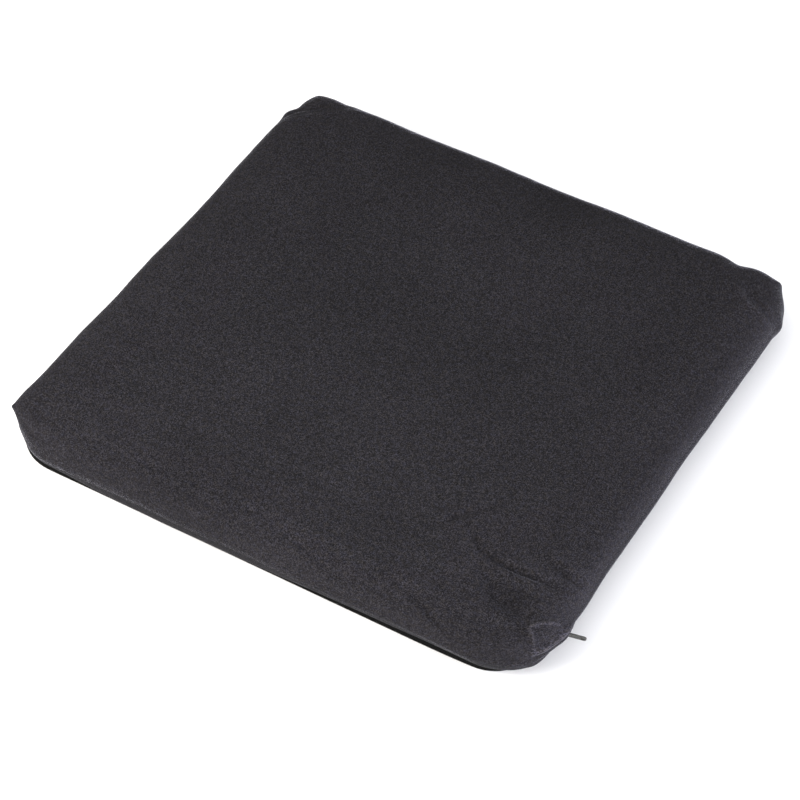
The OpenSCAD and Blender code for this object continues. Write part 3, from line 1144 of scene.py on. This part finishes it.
class PAD_OT_seams(bpy.types.Operator):
    """Adds the stitches of the four sewn corners, within the cloth"""

    bl_idname = "pad.seams"
    bl_label = "Corner stitches"

    def execute(self, context):
        low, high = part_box("corner_thread")
        cloth = bpy.data.objects["cover"].data
        faces = [tuple(face.vertices) for face in cloth.polygons]
        tree = BVHTree.FromPolygons([v.co.copy() for v in cloth.vertices], faces)
        heights = np.linspace(low.z, high.z, STITCHES + 1)
        bm = bmesh.new()
        for x, y in CORNER_SHAPES:
            outward = Vector((x, y, 0.0)).normalized()
            outside = Vector((x, y, 0.0)) * CORNER_CENTRE + outward * 2 * (PAD_HALF - CORNER_CENTRE)
            for bottom, top in zip(heights[:-1], heights[1:]):
                ends = []
                for height in (bottom + STITCH_GAP, top - STITCH_GAP):
                    place = outside + Vector((0.0, 0.0, height))
                    surface = tree.ray_cast(place, -outward)[0]
                    ends.append(surface - outward * STITCH_DEPTH)
                add_stitch(bm, *ends)
        seams = new_object("corner_stitches", bm)
        seams.data.materials.append(thread_material())
        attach(seams, "pad")
        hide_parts("corner_thread")
        return {"FINISHED"}


class PAD_OT_tapes(bpy.types.Operator):
    """Gives the zip's tapes and the sewing threads their finish"""

    bl_idname = "pad.tapes"
    bl_label = "Tapes and threads"

    def execute(self, context):
        tape = tape_material()
        thread = thread_material()
        finishes = {
            "zip_tape_upper": tape,
            "zip_tape_lower": tape,
            "hem_thread": thread,
            "zip_thread_upper": thread,
            "zip_thread_lower": thread,
        }
        for node, material in finishes.items():
            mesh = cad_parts[node].data
            mesh.materials.clear()
            mesh.materials.append(material)
        return {"FINISHED"}


# ---------------------------------------------------------------------------
# Stage
# ---------------------------------------------------------------------------


def add_softbox(name, place, width, energy, colour):
    """A square area light that faces the pad."""
    light = bpy.data.lights.new(name, "AREA")
    light.shape = "SQUARE"
    light.size = width
    light.energy = energy
    light.color = colour
    box = bpy.data.objects.new(name, light)
    box.location = place
    box.rotation_euler = Vector(place).to_track_quat("Z", "Y").to_euler()
    bpy.context.scene.collection.objects.link(box)


# Which way the even light is stronger, and its level on the far side
BRIGHT_WAY = (-0.45, -0.85, 0.2)
FAR_LEVEL = 0.26
# Softboxes: name, place, width, power in watts and colour
SOFTBOXES = (
    ("key", (-0.8, -1.15, 0.85), 1.1, 36.0, (1.0, 0.97, 0.93)),
    ("side", (1.45, 0.1, 0.2), 0.5, 42.0, (0.9, 0.91, 1.0)),
)
FLOOR_HALF = 6.0
SENSOR_WIDTH = 36.0
# The camera looks this far to its right of the origin and this far above it
AIM_RIGHT = -5.3 * MM
AIM_UP = -13.4 * MM


def studio_world(strength):
    """Even white light all round, stronger from the front left."""
    world = bpy.data.worlds.new("studio")
    world.use_nodes = True
    tree = world.node_tree
    sky = tree.nodes["Background"]
    sky.inputs["Strength"].default_value = strength
    place = tree.nodes.new("ShaderNodeTexCoord")
    towards = tree.nodes.new("ShaderNodeVectorMath")
    towards.operation = "DOT_PRODUCT"
    towards.inputs[1].default_value = BRIGHT_WAY
    tree.links.new(place.outputs["Generated"], towards.inputs[0])
    level = tree.nodes.new("ShaderNodeMapRange")
    level.inputs["From Min"].default_value = -1.0
    level.inputs["To Min"].default_value = FAR_LEVEL
    tree.links.new(towards.outputs["Value"], level.inputs["Value"])
    tree.links.new(level.outputs["Result"], sky.inputs["Color"])
    return world


class PAD_OT_stage(bpy.types.Operator):
    """Adds the floor, the studio light and the camera"""

    bl_idname = "pad.stage"
    bl_label = "Stage"

    def execute(self, context):
        scene = context.scene
        stage = scene.pad_stage
        scene.view_settings.view_transform = "Standard"

        bm = bmesh.new()
        bmesh.ops.create_grid(bm, x_segments=1, y_segments=1, size=FLOOR_HALF)
        floor = new_object("floor", bm)
        floor.data.materials.append(floor_material())

        scene.world = studio_world(stage.daylight)
        for softbox in SOFTBOXES:
            add_softbox(*softbox)

        back = Vector((0.0, -1.0, 0.0))
        back.rotate(Matrix.Rotation(-stage.elevation, 3, "X"))
        back.rotate(Matrix.Rotation(stage.azimuth, 3, "Z"))
        right = Vector((0.0, 0.0, 1.0)).cross(back).normalized()
        up = back.cross(right)
        turned_right = right * math.cos(stage.roll) + up * math.sin(stage.roll)
        turned_up = up * math.cos(stage.roll) - right * math.sin(stage.roll)
        aim = turned_right * AIM_RIGHT + turned_up * AIM_UP
        data = bpy.data.cameras.new("camera")
        data.lens = stage.lens
        data.sensor_width = SENSOR_WIDTH
        camera = bpy.data.objects.new("camera", data)
        turn = Matrix((turned_right, turned_up, back)).transposed()
        camera.matrix_world = Matrix.Translation(aim + back * stage.distance) @ turn.to_4x4()
        scene.collection.objects.link(camera)
        scene.camera = camera
        return {"FINISHED"}


class PAD_PT_panel(bpy.types.Panel):
    """Lists the pad's pieces in the sidebar"""

    bl_idname = "PAD_PT_panel"
    bl_label = "Kneeling Pad"
    bl_space_type = "VIEW_3D"
    bl_region_type = "UI"
    bl_category = "Kneeling Pad"

    def draw(self, context):
        column = self.layout.column()
        for group in (context.scene.pad_settings, context.scene.pad_stage):
            for name in group.bl_rna.properties.keys():
                if name not in {"rna_type", "name"}:
                    column.prop(group, name)
        for operator in OPERATORS:
            column.operator(operator.bl_idname)


OPERATORS = (
    PAD_OT_stage,
    PAD_OT_cover,
    PAD_OT_base,
    PAD_OT_foam,
    PAD_OT_coils,
    PAD_OT_slider,
    PAD_OT_seams,
    PAD_OT_tapes,
)
CLASSES = (PadSettings, StageSettings, *OPERATORS, PAD_PT_panel)


def register():
    for cls in CLASSES:
        bpy.utils.register_class(cls)
    bpy.types.Scene.pad_settings = bpy.props.PointerProperty(type=PadSettings)
    bpy.types.Scene.pad_stage = bpy.props.PointerProperty(type=StageSettings)


def unregister():
    del bpy.types.Scene.pad_stage
    del bpy.types.Scene.pad_settings
    for cls in reversed(CLASSES):
        bpy.utils.unregister_class(cls)


def main():
    register()
    for operator in OPERATORS:
        category, name = operator.bl_idname.split(".")
        getattr(getattr(bpy.ops, category), name)()


if __name__ == "__main__":
    main()
